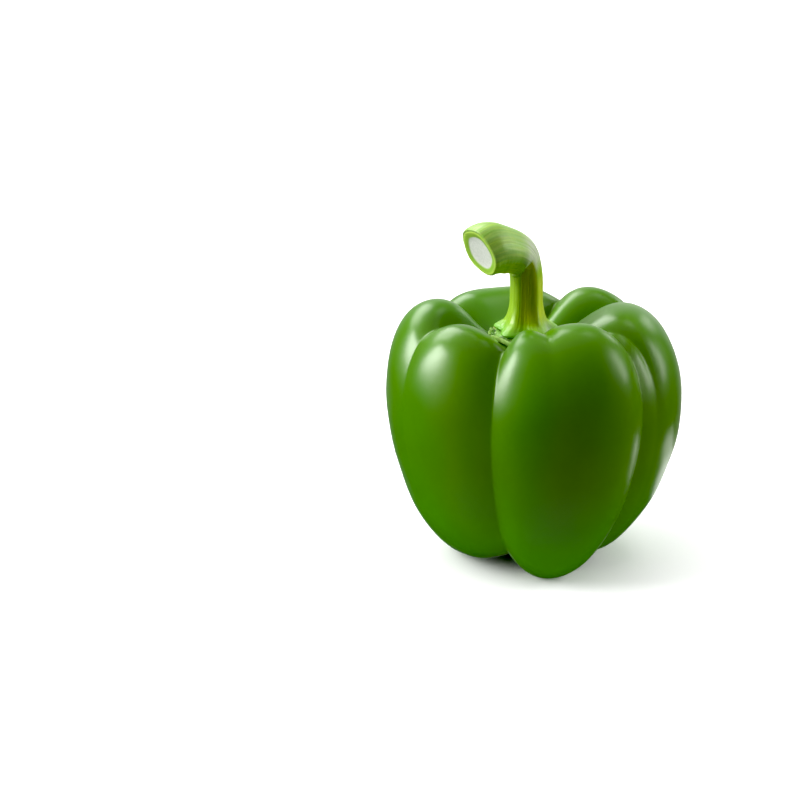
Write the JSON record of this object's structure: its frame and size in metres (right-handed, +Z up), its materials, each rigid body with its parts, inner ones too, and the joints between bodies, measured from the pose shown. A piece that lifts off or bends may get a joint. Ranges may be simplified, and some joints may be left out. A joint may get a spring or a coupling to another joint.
{
  "type": "bell pepper",
  "caption": "Whole green bell pepper standing on its lobed feet, with a ragged calyx in the hollow on top and a bent, cut stem.",
  "frame": {"origin": "on the surface the pepper stands on, under the middle of its outline", "axes": "+Z up through the fruit towards the stem, -Y towards the front that the picture shows, +X to the viewer's right"},
  "size_m": [0.0886, 0.0864, 0.1046],
  "materials": {
    "skin": "smooth waxy gloss",
    "calyx": "rough, with small warts and a thin pale rim",
    "stem": "satin, ridged along its length, pale on the cut"
  },
  "bodies": {
    "root": {"fruit": "skin", "calyx": "calyx", "stem": "stem"}
  },
  "joints": []
}
